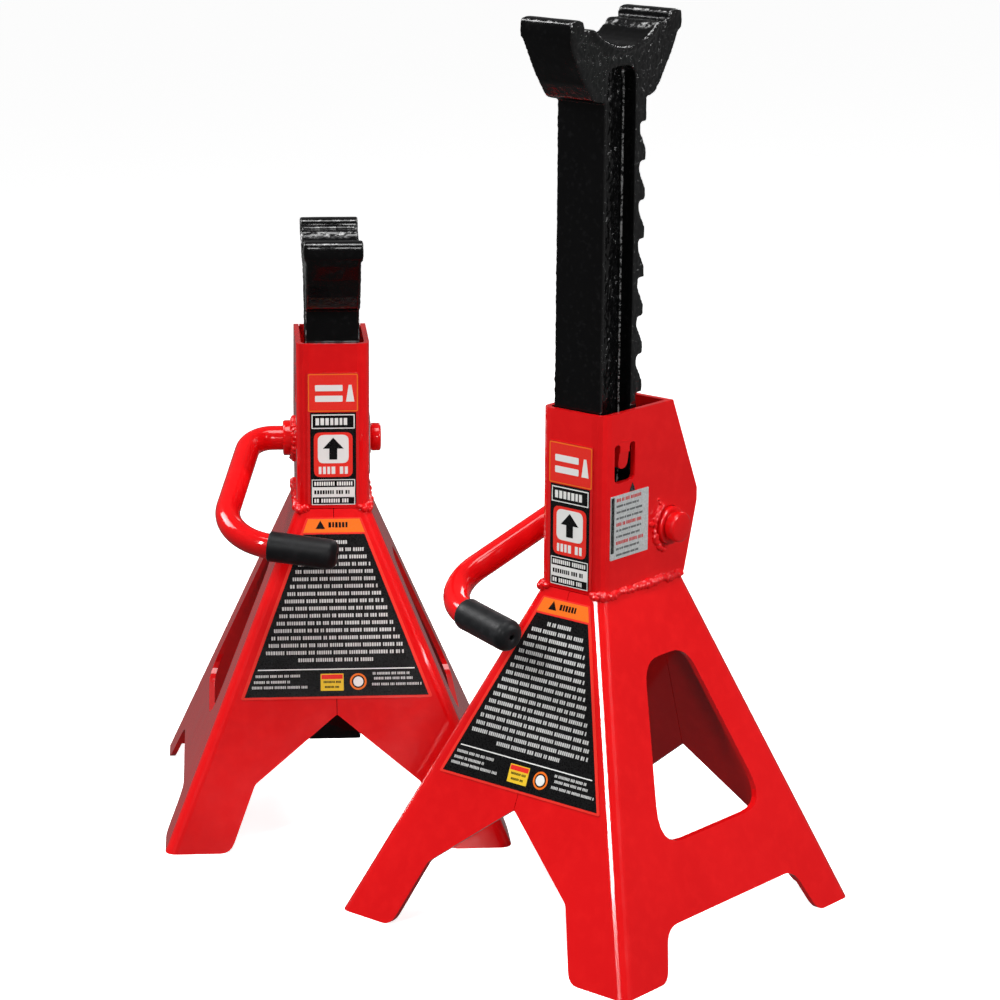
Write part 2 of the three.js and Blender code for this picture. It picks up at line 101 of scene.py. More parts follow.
# ---- Colours of paint, casting, grip, steel and paper ----
PAINT_DEEP = (0.66, 0.0028, 0.0045, 1)
PAINT_FULL = (0.76, 0.005, 0.0068, 1)
PAINT_THIN = (0.84, 0.011, 0.011, 1)
CAST_BLACK = (0.0022, 0.0022, 0.0024, 1)
CAST_THIN = (0.009, 0.009, 0.0095, 1)
# pale grey laid on the casting's upper edges and groove corner as a painted highlight
CAST_PAINTED_GLINT = (0.5, 0.5, 0.5, 1)
GRIP_BLACK = (0.008, 0.0085, 0.0095, 1)
GRIP_SCUFF = (0.026, 0.027, 0.03, 1)
STEEL_LIGHT = (0.42, 0.41, 0.39, 1)
STEEL_DARK = (0.2, 0.19, 0.18, 1)
PAPER_LOW = (0.90, 0.90, 0.90, 1)
PAPER_HIGH = (0.93, 0.93, 0.93, 1)
FRONT_WORN = (0.5, 0.5, 0.5, 1)
SIDE_WORN = (0.16, 0.17, 0.17, 1)


# ---- Where each stand is, from its handle's hinge ----
def stand_matrix(stand):
    """The stand's own frame, in millimetres, to the row frame, in metres."""
    hinge = next(j for j in frame["joints"] if j["name"] == stand + "_handle_hinge")
    left = Vector(hinge["axis"])
    turn = math.atan2(-left.y, -left.x)
    place = Matrix.Translation(hinge["pos_m"]) @ Matrix.Rotation(turn, 4, "Z")
    return place @ Matrix.Scale(MM, 4) @ Matrix.Translation(-PIVOT)


# ---- Shader helpers ----
def node(tree, kind, inputs=None, **settings):
    """Adds a shader node; an input given a socket is linked, and any other value is set."""
    made = tree.nodes.new("ShaderNode" + kind)
    for key, value in settings.items():
        setattr(made, key, value)
    for key, value in (inputs or {}).items():
        if isinstance(value, bpy.types.NodeSocket):
            tree.links.new(value, made.inputs[key])
        else:
            made.inputs[key].default_value = value
    return made


def new_material(name, **constants):
    """A node material; the constants go straight on its shader's sockets."""
    made = bpy.data.materials.new(name)
    made.use_nodes = True
    tree = made.node_tree
    shader = tree.nodes["Principled BSDF"]
    for key, value in constants.items():
        shader.inputs[key.replace("_", " ")].default_value = value
    coords = node(tree, "TexCoord").outputs["Object"]
    return made, tree, shader, coords


def noise_value(tree, coords, scale, detail=3.0, rough=0.55):
    inputs = {"Vector": coords, "Scale": scale, "Detail": detail, "Roughness": rough}
    return node(tree, "TexNoise", inputs).outputs["Fac"]


def cell_distance(tree, coords, scale):
    inputs = {"Vector": coords, "Scale": scale, "Randomness": 1.0}
    return node(tree, "TexVoronoi", inputs).outputs["Distance"]


def remap(tree, value, from_low, from_high, to_low, to_high):
    inputs = {0: value, 1: from_low, 2: from_high, 3: to_low, 4: to_high}
    return node(tree, "MapRange", inputs, clamp=True).outputs[0]


def mix_colour(tree, fac, first, second):
    made = node(tree, "Mix", data_type="RGBA")
    for index, value in ((0, fac), (6, first), (7, second)):
        if isinstance(value, bpy.types.NodeSocket):
            tree.links.new(value, made.inputs[index])
        else:
            made.inputs[index].default_value = value
    return made.outputs[2]


def maths(tree, operation, first, second):
    return node(tree, "Math", {0: first, 1: second}, operation=operation).outputs[0]


def bump(tree, height, distance, strength=1.0, normal=None):
    inputs = {"Height": height, "Distance": distance, "Strength": strength}
    if normal is not None:
        inputs["Normal"] = normal
    return node(tree, "Bump", inputs).outputs["Normal"]


# ---- Materials ----
def red_paint():
    """Gloss powder coat: slight orange peel, a few pinholes, and a soft change of depth over large areas."""
    constants = {"Specular_IOR_Level": 0.1, "Coat_Weight": 0.8, "Coat_Roughness": 0.05}
    made, tree, shader, coords = new_material("red_paint", **constants)
    broad = noise_value(tree, coords, 14, 2)
    mottle = noise_value(tree, coords, 160, 4)
    deep = mix_colour(tree, remap(tree, broad, 0.3, 0.7, 0, 1), PAINT_DEEP, PAINT_FULL)
    shade = mix_colour(tree, remap(tree, mottle, 0.45, 0.75, 0, 0.35), deep, PAINT_THIN)
    tree.links.new(shade, shader.inputs["Base Color"])
    gloss = remap(tree, noise_value(tree, coords, 70, 5, 0.6), 0.3, 0.7, 0.13, 0.22)
    tree.links.new(gloss, shader.inputs["Roughness"])
    peel = noise_value(tree, coords, 420, 2, 0.4)
    waves = noise_value(tree, coords, 60, 2, 0.5)
    pits = cell_distance(tree, coords, 260.0)
    pinholes = remap(tree, pits, 0.03, 0.09, 0, 1)
    surface = bump(tree, waves, 0.00016)
    surface = bump(tree, peel, 0.00003, 1.0, surface)
    surface = bump(tree, pinholes, 0.00004, 0.6, surface)
    tree.links.new(surface, shader.inputs["Normal"])
    return made


def black_casting():
    """Gloss black paint over a sand-cast skin: grainy lumps, shallow pits, thin paint on high spots, and
    pale grey painted highlights on marked edges.
    """
    constants = {"Specular_IOR_Level": 0.12, "Coat_Roughness": 0.05, "Coat_IOR": 1.65}
    made, tree, shader, coords = new_material("black_casting", **constants)
    grain = noise_value(tree, coords, 420, 3, 0.5)
    lumps = noise_value(tree, coords, 150, 4, 0.55)
    cells = cell_distance(tree, coords, 320.0)
    thin = remap(tree, grain, 0.56, 0.72, 0, 0.6)
    colour = mix_colour(tree, thin, CAST_BLACK, CAST_THIN)
    # painted highlight: pale grey on the edges and groove corner marked in the mesh, broken up by noise
    glint_mask = node(tree, "Attribute", attribute_name="painted_glint").outputs["Fac"]
    ragged = remap(tree, noise_value(tree, coords, 700, 3), 0.44, 0.56, 0, 1)
    colour = mix_colour(tree, maths(tree, "MULTIPLY", glint_mask, ragged), colour, CAST_PAINTED_GLINT)
    tree.links.new(colour, shader.inputs["Base Color"])
    gloss = remap(tree, lumps, 0.3, 0.7, 0.09, 0.24)
    tree.links.new(gloss, shader.inputs["Roughness"])
    rough_part = node(tree, "Attribute", attribute_name="rough_skin").outputs["Fac"]
    tree.links.new(remap(tree, rough_part, 0.1, 0.5, 0.15, 1), shader.inputs["Coat Weight"])
    height = maths(tree, "ADD", grain, cells)
    surface = bump(tree, maths(tree, "MULTIPLY", height, rough_part), 0.0009)
    surface = bump(tree, lumps, 0.00013, 1.0, surface)
    surface = bump(tree, noise_value(tree, coords, 1300, 3), 0.00005, 1.0, surface)
    tree.links.new(surface, shader.inputs["Normal"])
    return made


def grip_rubber():
    """Dipped vinyl sleeve: soft sheen, faint flow marks and scuffs."""
    constants = {"Specular_IOR_Level": 0.2, "Sheen_Weight": 0.02, "Sheen_Roughness": 0.4}
    made, tree, shader, coords = new_material("grip_rubber", **constants)
    scuff = noise_value(tree, coords, 240, 6, 0.65)
    colour = mix_colour(tree, remap(tree, scuff, 0.5, 0.75, 0, 0.5), GRIP_BLACK, GRIP_SCUFF)
    tree.links.new(colour, shader.inputs["Base Color"])
    tree.links.new(remap(tree, scuff, 0.3, 0.7, 0.36, 0.56), shader.inputs["Roughness"])
    surface = bump(tree, noise_value(tree, coords, 900, 3), 0.00003)
    surface = bump(tree, noise_value(tree, coords, 120, 2), 0.00012, 1.0, surface)
    tree.links.new(surface, shader.inputs["Normal"])
    return made


def bare_steel():
    """Punched steel with an oil film: fine scratches and darker patches."""
    made, tree, shader, coords = new_material("bare_steel", Metallic=1.0)
    stretched = node(tree, "Mapping", {"Vector": coords, "Scale": (60.0, 900.0, 900.0)}).outputs[0]
    scratches = noise_value(tree, stretched, 3, 5, 0.6)
    patches = noise_value(tree, coords, 90, 4, 0.6)
    colour = mix_colour(tree, remap(tree, patches, 0.35, 0.7, 0, 1), STEEL_LIGHT, STEEL_DARK)
    tree.links.new(colour, shader.inputs["Base Color"])
    tree.links.new(remap(tree, scratches, 0.3, 0.7, 0.28, 0.5), shader.inputs["Roughness"])
    tree.links.new(bump(tree, scratches, 0.00005), shader.inputs["Normal"])
    return made


def print_vinyl(name, wear, worn_to):
    """Printed vinyl: the ink is the mesh's own colour, with a screen grain and a slightly wavy face."""
    made, tree, shader, coords = new_material(name, Specular_IOR_Level=0.15)
    ink = node(tree, "Attribute", attribute_name="ink").outputs["Color"]
    grain = noise_value(tree, coords, 1400, 2)
    worn = mix_colour(tree, remap(tree, grain, 0.35, 0.75, 0, wear), ink, worn_to)
    tree.links.new(worn, shader.inputs["Base Color"])
    gloss = remap(tree, noise_value(tree, coords, 130, 3), 0.3, 0.7, 0.16, 0.24)
    tree.links.new(gloss, shader.inputs["Roughness"])
    tree.links.new(bump(tree, noise_value(tree, coords, 500, 2), 0.000004), shader.inputs["Normal"])
    return made


def floor_paper():
    """Pale seamless paper that glows like a light table, so that its shadows stay faint."""
    constants = {"Specular_IOR_Level": 0.1, "Emission_Strength": FLOOR_GLOW}
    made, tree, shader, coords = new_material("floor_paper", **constants)
    tooth = noise_value(tree, coords, 300, 4)
    tree.links.new(mix_colour(tree, tooth, PAPER_LOW, PAPER_HIGH), shader.inputs["Base Color"])
    tree.links.new(remap(tree, tooth, 0.3, 0.7, 0.7, 0.85), shader.inputs["Roughness"])
    return made


MATERIALS = {
    "red_paint": red_paint(),
    "black_casting": black_casting(),
    "grip_rubber": grip_rubber(),
    "bare_steel": bare_steel(),
    "front_print": print_vinyl("front_print", 0.02, FRONT_WORN),
    "side_print": print_vinyl("side_print", 0.5, SIDE_WORN),
}


# ---- Mesh helpers ----
def add_piece(name, mesh, body, slot, *replaced, flat=False):
    """Shows a finished mesh, already in the row frame, as a piece that rides on a body."""
    piece = bpy.data.objects.new(name, mesh)
    bpy.context.scene.collection.objects.link(piece)
    mesh.materials.clear()
    mesh.materials.append(MATERIALS[slot])
    if flat:
        mesh.shade_flat()
    else:
        mesh.shade_smooth()
    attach(piece, body)
    if replaced:
        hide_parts(*replaced)


def mesh_from(bm, name, matrix):
    """A bmesh drawn in a stand's own frame, moved into the row frame and turned to face outwards."""
    bmesh.ops.recalc_face_normals(bm, faces=bm.faces)
    mesh = bpy.data.meshes.new(name)
    bm.to_mesh(mesh)
    bm.free()
    mesh.transform(matrix)
    return mesh


def bevelled(piece, width):
    """Rounds a piece's sharp edges and keeps its flat faces flat."""
    dissolve = piece.modifiers.new("flat faces", "DECIMATE")
    dissolve.decimate_type = "DISSOLVE"
    dissolve.angle_limit = math.radians(FLAT_ANGLE)
    edge = piece.modifiers.new("edges", "BEVEL")
    edge.width = width * MM
    edge.segments = EDGE_SEGMENTS
    edge.limit_method = "ANGLE"
    edge.angle_limit = math.radians(EDGE_ANGLE)
    edge.use_clamp_overlap = True
    normals = piece.modifiers.new("normals", "WEIGHTED_NORMAL")
    normals.keep_sharp = True
    piece.data.shade_smooth()


def bridge(bm, lower, upper):
    """Joins two rings of the same number of vertices with a band of faces."""
    for i in range(len(lower)):
        j = (i + 1) % len(lower)
        bm.faces.new((lower[i], lower[j], upper[j], upper[i]))


def sweep(sections):
    """A closed body through rings of points, its two ends capped."""
    bm = bmesh.new()
    rings = [[bm.verts.new(p) for p in ring] for ring in sections]
    for lower, upper in zip(rings, rings[1:]):
        bridge(bm, lower, upper)
    bm.faces.new(rings[0])
    bm.faces.new(rings[-1])
    return bm


def tube_rings(path, radii, sides):
    """Rings of given radii round a path, turned as little as possible from one to the next."""
    tangent = (path[1] - path[0]).normalized()
    across = tangent.orthogonal().normalized()
    rings = []
    for i, centre in enumerate(path):
        ahead = (path[min(i + 1, len(path) - 1)] - path[max(i - 1, 0)]).normalized()
        across = (across - ahead * across.dot(ahead)).normalized()
        other = ahead.cross(across)
        ring = []
        for k in range(sides):
            angle = 2 * math.pi * k / sides
            ring.append(centre + (across * math.cos(angle) + other * math.sin(angle)) * radii[i])
        rings.append(ring)
    return rings


def lathe(profile, origin, axis, sides=64):
    """Turns a closed profile of (radius, distance along the axis) round an axis through origin."""
    axis = axis.normalized()
    across = axis.orthogonal().normalized()
    other = axis.cross(across)
    bm = bmesh.new()
    rings = []
    for k in range(sides):
        angle = 2 * math.pi * k / sides
        out = across * math.cos(angle) + other * math.sin(angle)
        rings.append([bm.verts.new(origin + axis * along + out * radius) for radius, along in profile])
    for k in range(sides):
        bridge(bm, rings[k], rings[(k + 1) % sides])
    return bm


def rounded(points, steps=5):
    """A closed profile whose (u, v, radius) corners are rounded."""
    result = []
    for i, (u, v, radius) in enumerate(points):
        corner = Vector((u, v))
        before = Vector(points[i - 1][:2])
        after = Vector(points[(i + 1) % len(points)][:2])
        if radius <= 0:
            result.append((u, v))
            continue
        start = corner + (before - corner).normalized() * radius
        end = corner + (after - corner).normalized() * radius
        for step in range(steps + 1):
            t = step / steps
            p = start * (1 - t) ** 2 + corner * 2 * t * (1 - t) + end * t**2
            result.append((p.x, p.y))
    return result


# ---- Column: the casting's rounded, lumpy skin, grown over the CAD node ----
def cast_column(stand):
    """Grows the skin, roughens it, and marks its rough parts and the upper edges and groove corner that get
    a painted highlight.
    """
    source = frame["nodes"][stand + "_ratchet_column"]
    working = bpy.data.objects.new("column_working", source.data.copy())
    bpy.context.scene.collection.objects.link(working)
    skin = working.modifiers.new("skin", "REMESH")
    skin.mode = "VOXEL"
    skin.voxel_size = CAST_VOXEL * MM
    soften = working.modifiers.new("soften", "SMOOTH")
    soften.factor = 0.5
    soften.iterations = 10
    bpy.context.view_layer.update()
    evaluated = working.evaluated_get(bpy.context.evaluated_depsgraph_get())
    mesh = bpy.data.meshes.new_from_object(evaluated)
    bpy.data.objects.remove(working)
    inverse = stand_matrix(stand).inverted()
    across, along, up = (axis.normalized() for axis in stand_matrix(stand).to_3x3().col)
    rough = mesh.attributes.new("rough_skin", "FLOAT", "POINT")
    glint_mask = mesh.attributes.new("painted_glint", "FLOAT", "POINT")
    values = []
    glint_values = []
    moved = []
    for vertex in mesh.vertices:
        local = inverse @ vertex.co
        facing = [abs(vertex.normal.dot(direction)) for direction in (across, along, up)]
        edge = 1 - max(facing)
        patchy = 0.75 + 0.5 * noise.noise(local * 0.05)
        stray = 0.1 * max(0, noise.noise(local * 0.09))
        roughness = min(1, facing[0] ** 2 * patchy + 3 * max(0, edge - 0.14) + stray)
        lump = noise.noise(local * 0.12) * 0.12
        hammered = noise.noise(local * 0.45) * 0.3 + noise.noise(local * 0.9) * 0.2
        moved.append(vertex.co + vertex.normal * (lump + hammered * roughness - 0.1) * MM)
        values.append(0.06 + 0.94 * roughness)
        # painted highlight marks: broken patches on edges that do not face down, and a line in the groove's
        # corner
        glint_breakup = noise.noise(local * 0.3 + Vector((7, 3, 0))) + 0.4 * noise.noise(local * 0.8)
        edge_glint = min(1, max(0, (edge - 0.17) * 9)) if vertex.normal.z > -0.15 else 0
        off_corner = max(abs(abs(local.x) - GROOVE_CORNER["x"]), abs(local.y - GROOVE_CORNER["y"]))
        in_corner = edge > 0.1 and off_corner < GROOVE_CORNER["reach"]
        glint_values.append(0.9 if in_corner else edge_glint * min(1, max(0, (glint_breakup - 0.05) * 5)))
    for vertex, co in zip(mesh.vertices, moved):
        vertex.co = co
    rough.data.foreach_set("value", values)
    glint_mask.data.foreach_set("value", glint_values)
    mesh.update()
    add_piece(stand + "_cast_column", mesh, stand + "_column", "black_casting", stand + "_ratchet_column")


# ---- Handle ----
def handle_point(x, out):
    """A point of the handle's plane: x across the stand, and out from the pivot, down the arm's slope."""
    slope = math.radians(ARM["slope"])
    return Vector((x, PIVOT.y - out * math.cos(slope), PIVOT.z - out * math.sin(slope)))


GRIP_TIP = handle_point(ROD["tip_x"], ARM["tip"])
GRIP_AXIS = (GRIP_TIP - handle_point(ROD["elbow_x"], ARM["elbow"])).normalized()


def rounded_path(corners, radii, step=1.2):
    """Points along straight runs whose inner corners are circular arcs."""
    path = [corners[0]]
    for i in range(1, len(corners) - 1):
        back = (corners[i - 1] - corners[i]).normalized()
        on = (corners[i + 1] - corners[i]).normalized()
        half = back.angle(on) / 2
        radius = radii[i - 1]
        centre = corners[i] + (back + on).normalized() * radius / math.sin(half)
        start = corners[i] + back * radius / math.tan(half)
        end = corners[i] + on * radius / math.tan(half)
        run = start - path[-1]
        count = max(2, round(run.length / 4))
        path += [path[-1].lerp(start, k / count) for k in range(1, count)]
        turn = math.pi - 2 * half
        count = max(4, math.ceil(radius * turn / step))
        first, last = start - centre, end - centre
        for k in range(count + 1):
            t = k / count
            arm = (first * math.sin((1 - t) * turn) + last * math.sin(t * turn)) / math.sin(turn)
            path.append(centre + arm)
    count = max(2, round((corners[-1] - path[-1]).length / 4))
    return path + [path[-1].lerp(corners[-1], k / count) for k in range(1, count + 1)]


def handle_rod(stand, matrix):
    """The bent rod, with an upset head outside the right bush."""
    corners = [
        handle_point(ROD["right_end"], 0),
        handle_point(ROD["corner_x"], 0),
        handle_point(ROD["elbow_x"], ARM["elbow"]),
        GRIP_TIP - GRIP_AXIS * ROD_END_IN_GRIP,
    ]
    path = rounded_path(corners, [ROD_ROUND["corner"], ROD_ROUND["elbow"]])
    inward = (path[1] - path[0]).normalized()
    radius, head = ROD["radius"], ROD["head"]
    length = ROD["right_end"] - BUSH["right_end"] - 0.3
    profile = [(0, head - 1.3), (0.12, head - 0.7), (0.45, head - 0.2), (1.0, head), (length - 0.3, head)]
    profile += [(length - 0.05, head - 0.25), (length, radius + 0.05), (length + 0.1, radius)]
    run = [point for point in path[1:] if (point - path[0]).length > length + 0.6]
    radii = [size for _, size in profile] + [radius] * len(run)
    path = [path[0] + inward * along for along, _ in profile] + run
    bm = sweep(tube_rings(path, radii, 40))
    mesh = mesh_from(bm, stand + "_bent_rod", matrix)
    add_piece(stand + "_bent_rod", mesh, stand + "_handle", "red_paint", stand + "_handle_rod")


def handle_grip(stand, matrix):
    """The sleeve: a lip where it starts, a domed end and a small vent hole."""
    length, radius, dome, hole = GRIP["length"], GRIP["radius"], GRIP["dome"], GRIP["hole"]
    bore = ROD["radius"] + GRIP["bore_gap"]
    profile = [(hole, length - 0.6), (hole, length - GRIP["end"]), (bore, length - GRIP["end"]), (bore, 0.3)]
    profile += [(bore + 0.25, 0.02), (radius - 0.45, 0), (radius - 0.12, 0.2), (radius + 0.05, 0.8)]
    profile += [(radius, 1.8), (radius - 0.04, length * 0.35), (radius, length * 0.7)]
    for step in range(11):
        angle = step / 10 * math.pi / 2
        profile.append((radius - dome + dome * math.cos(angle), length - dome + dome * math.sin(angle)))
    profile += [(hole + 0.5, length - 0.02), (hole + 0.15, length - 0.2)]
    bm = lathe(profile, GRIP_TIP - GRIP_AXIS * length, GRIP_AXIS)
    mesh = mesh_from(bm, stand + "_dipped_grip", matrix)
    add_piece(stand + "_dipped_grip", mesh, stand + "_handle", "grip_rubber", stand + "_handle_grip")


def pivot_bush(stand, matrix, side, end):
    name = stand + "_turned_bush_" + side
    inner, radius, bore = BUSH["inner"], BUSH["radius"], BUSH["bore"]
    profile = [(bore, inner, 0), (radius, inner, 0.3), (radius, end, 1.1), (bore, end, 0.5)]
    axis = Vector((-1 if side == "left" else 1, 0, 0))
    bm = lathe(rounded(profile), Vector((0, PIVOT.y, PIVOT.z)), axis)
    mesh = mesh_from(bm, name, matrix)
    add_piece(name, mesh, stand + "_stand", "red_paint", stand + "_pivot_bush_" + side)


# ---- Weld beads: overlapping puddles along a line ----
def resample(points, step):
    """Points a fixed step apart along a line."""
    result, carry = [points[0]], 0.0
    for a, b in zip(points, points[1:]):
        length = (b - a).length
        along = step - carry
        while along <= length:
            result.append(a.lerp(b, along / length))
            along += step
        carry = length - (along - step)
    return result


def weld_bead(name, stand, matrix, line, radius, seed, pitch=2.1):
    """A bead whose puddles overlap like scales; the seed varies their size a little."""
    step = 0.35
    path = resample(line, step)
    count = len(path)
    radii = []
    for i in range(count):
        along = i * step
        puddle = (along / pitch) % 1
        scale = 0.88 + 0.3 * math.sin(math.pi * puddle) ** 0.7
        drift = 1 + 0.42 * noise.noise(Vector((along * 0.21, seed * 7.3, 0)))
        near_end = min(i, count - 1 - i) * step / (radius * 1.2)
        cap = math.sqrt(max(0.02, 1 - (1 - min(1, near_end)) ** 2))
        radii.append(radius * scale * drift * cap)
    wander = [
        p + Vector((0, 0, 1)) * 0.6 * radius * noise.noise(Vector((i * step * 0.17, 3.1, seed * 5.7)))
        for i, p in enumerate(path)
    ]
    rings = []
    for centre, ring in zip(wander, tube_rings(wander, radii, 14)):
        ripples = [noise.noise(point * 0.62 + Vector((0, 0, seed))) for point in ring]
        rings.append([point + (point - centre) * 0.45 * ripple for point, ripple in zip(ring, ripples)])
    mesh = mesh_from(sweep(rings), name, matrix)
    add_piece(name, mesh, stand + "_stand", "red_paint")


def tower_foot_line(side):
    """Along the foot of one cheek from its back edge, and round the front corner a little way."""
    w, bend, z = TOWER["half_width"], TOWER["bend"], TOWER["bottom"] - 0.2
    points = [Vector((side * w, BASE_TOP["back"] - 1.5, z))]
    for step in range(9):
        angle = step / 8 * math.pi / 2
        across = w - bend + bend * math.cos(angle)
        points.append(Vector((side * across, bend - bend * math.sin(angle), z)))
    return points + [Vector((side * (w - bend - 0.6), 0, z))]


def arc_line(x, radius, start, end, steps=24):
    """An arc round the pivot in the plane of a cheek; angles are in degrees from +Y towards +Z."""
    points = []
    for step in range(steps + 1):
        angle = math.radians(start + (end - start) * step / steps)
        points.append(Vector((x, PIVOT.y + radius * math.cos(angle), PIVOT.z + radius * math.sin(angle))))
    return points


def welds(stand, matrix, seed):
    """Every bead of one stand: round the tower's foot, round the bushes and along the back plate."""
    w, z = TOWER["half_width"], TOWER["bottom"]
    back = [Vector((-w + 2, BASE_TOP["back"] + 0.2, z)), Vector((w - 2, BASE_TOP["back"] + 0.2, z))]
    beads = (
        # name, line, radius, number added to the seed
        ("foot_right", tower_foot_line(1), 1.65, 0),
        ("foot_left", tower_foot_line(-1), 1.75, 6),
        ("tower_back", back, 1.9, 1),
        ("bush_right", arc_line(w + 0.1, 11.1, 112, 258), 1.35, 2),
        ("bush_left", arc_line(-w - 0.1, 10.0, 80, 300), 1.6, 3),
    )
    for name, line, radius, number in beads:
        weld_bead(f"{stand}_weld_{name}", stand, matrix, line, radius, seed + number)
    for side, x in (("left", -w), ("right", w)):
        for part, ends in WELD_BACK_RUNS:
            inward = x * WELD_BACK["inward"]
            line = [Vector((inward, along - WELD_BACK["depth"], height)) for along, height in ends]
            weld_bead(f"{stand}_weld_back_{side}_{part}", stand, matrix, line, WELD_BACK["radius"], seed + 4)


def corner_blobs(stand, matrix, seed):
    """Lumps of weld where the bead turns the tower's corners, and spatters round the right bush."""
    chance = random.Random(seed)
    w = TOWER["half_width"]
    y, z = PIVOT.y, PIVOT.z
    places = [
        # centre, radius
        (Vector((-w + 1.2, 1.2, 152)), 2.3),
        (Vector((w - 2.6, 0.3, 152.2)), 1.7),
        (Vector((w - 0.6, 2.6, 151.8)), 2.0),
        (Vector((w, 6.5, 152.1)), 1.9),
        (Vector((w + 0.2, 10.5, 152.9)), 1.5),
        (Vector((-w + 0.3, 54.5, 152.2)), 2.7),
        (Vector((w - 0.2, 55.5, 152.4)), 2.1),
        (Vector((w, y - 13.1, z + 2.7)), 1.3),
        (Vector((w, y - 6.6, z + 11.2)), 1.0),
        (Vector((w, y - 7.9, z + 13.1)), 0.8),
        (Vector((w, y - 9.9, z - 5.4)), 1.5),
        (Vector((w, y - 3.6, z - 10.4)), 1.2),
    ]
    bm = bmesh.new()
    for centre, radius in places:
        made = bmesh.ops.create_icosphere(bm, subdivisions=3, radius=radius)["verts"]
        stretch = Vector((1, 1.1 + 0.3 * chance.random(), 0.8 + 0.3 * chance.random()))
        for vertex in made:
            lump = 1 + 0.16 * noise.noise(vertex.co * 0.7 + centre)
            vertex.co = centre + vertex.co * stretch * lump
    mesh = mesh_from(bm, stand + "_weld_lumps", matrix)
    add_piece(stand + "_weld_lumps", mesh, stand + "_stand", "red_paint")


# ---- Printed labels: ink patches on a sheet, with plain bars in place of every line of lettering ----
RED = (0.62, 0.012, 0.012)
BRIGHT_RED = (0.80, 0.03, 0.02)
ORANGE = (0.86, 0.17, 0.015)
WHITE = (0.80, 0.80, 0.78)
PALE = (0.56, 0.56, 0.55)
BLACK = (0.003, 0.003, 0.0032)
YELLOW = (0.85, 0.55, 0.03)
SILVER = (0.52, 0.54, 0.54)
SMALL_PRINT = (0.05, 0.05, 0.05)
LIFT = 0.05
SHEET = 0.35
INK = 0.05
INK_OVERLAP = 0.02


class Label:
    """A printed sheet drawn as (u right, v up) outlines, each a thin closed slab on the one below."""

    def __init__(self, outline, colour):
        self.bm = bmesh.new()
        self.ink = self.bm.faces.layers.float_color.new("ink")
        self.slab(outline, LIFT, SHEET, colour)

    def slab(self, outline, low, high, colour):
        bottom = [self.bm.verts.new((u, v, low)) for u, v in outline]
        top = [self.bm.verts.new((u, v, high)) for u, v in outline]
        count = len(outline)
        faces = [self.bm.faces.new(bottom[::-1]), self.bm.faces.new(top)]
        for i in range(count):
            j = (i + 1) % count
            faces.append(self.bm.faces.new((bottom[i], bottom[j], top[j], top[i])))
        for face in faces:
            face[self.ink] = (*colour, 1)

    def patch(self, outline, colour, layer=1):
        self.slab(outline, SHEET + INK * (layer - 1) - INK_OVERLAP, SHEET + INK * layer, colour)

    def box(self, u0, u1, v0, v1, colour, layer=1, radius=0.0):
        corners = [(u0, v0, radius), (u1, v0, radius), (u1, v1, radius), (u0, v1, radius)]
        self.patch(rounded(corners, 4), colour, layer)

    def frame(self, u0, u1, v0, v1, width, edge, fill, layer=1, radius=0.0):
        self.box(u0, u1, v0, v1, edge, layer, radius)
        inner = max(0.0, radius - width * 0.6)
        self.box(u0 + width, u1 - width, v0 + width, v1 - width, fill, layer + 1, inner)

    def line(self, u0, u1, v, height, colour, chance, layer=1):
        """A row of plain blocks between u0 and u1, spaced like a line of print."""
        u = u0
        while u < u1:
            for _ in range(chance.randint(2, 9)):
                width = height * chance.uniform(0.34, 0.52)
                if u + width > u1:
                    break
                self.box(u, u + width, v - height / 2, v + height / 2, colour, layer)
                u += width + height * 0.2
            u += height * 0.42

    def disc(self, u, v, radius, colour, layer=1, sides=32):
        ring = [2 * math.pi * k / sides for k in range(sides)]
        self.patch([(u + radius * math.cos(t), v + radius * math.sin(t)) for t in ring], colour, layer)

    def show(self, stand, part, slot, place):
        """Lays the finished print in its place as a piece instead of the CAD label."""
        name = f"{stand}_{part}_print"
        mesh = bpy.data.meshes.new(name)
        self.bm.to_mesh(mesh)
        self.bm.free()
        mesh.transform(place)
        add_piece(name, mesh, stand + "_stand", slot, f"{stand}_{part}_label", flat=True)


def axes(origin, right, up):
    """The matrix that lays a label's u, v and outward axes in a stand's own frame."""
    right, up = Vector(right).normalized(), Vector(up).normalized()
    out = right.cross(up)
    return Matrix.Translation(origin) @ Matrix((right, up, out)).transposed().to_4x4()


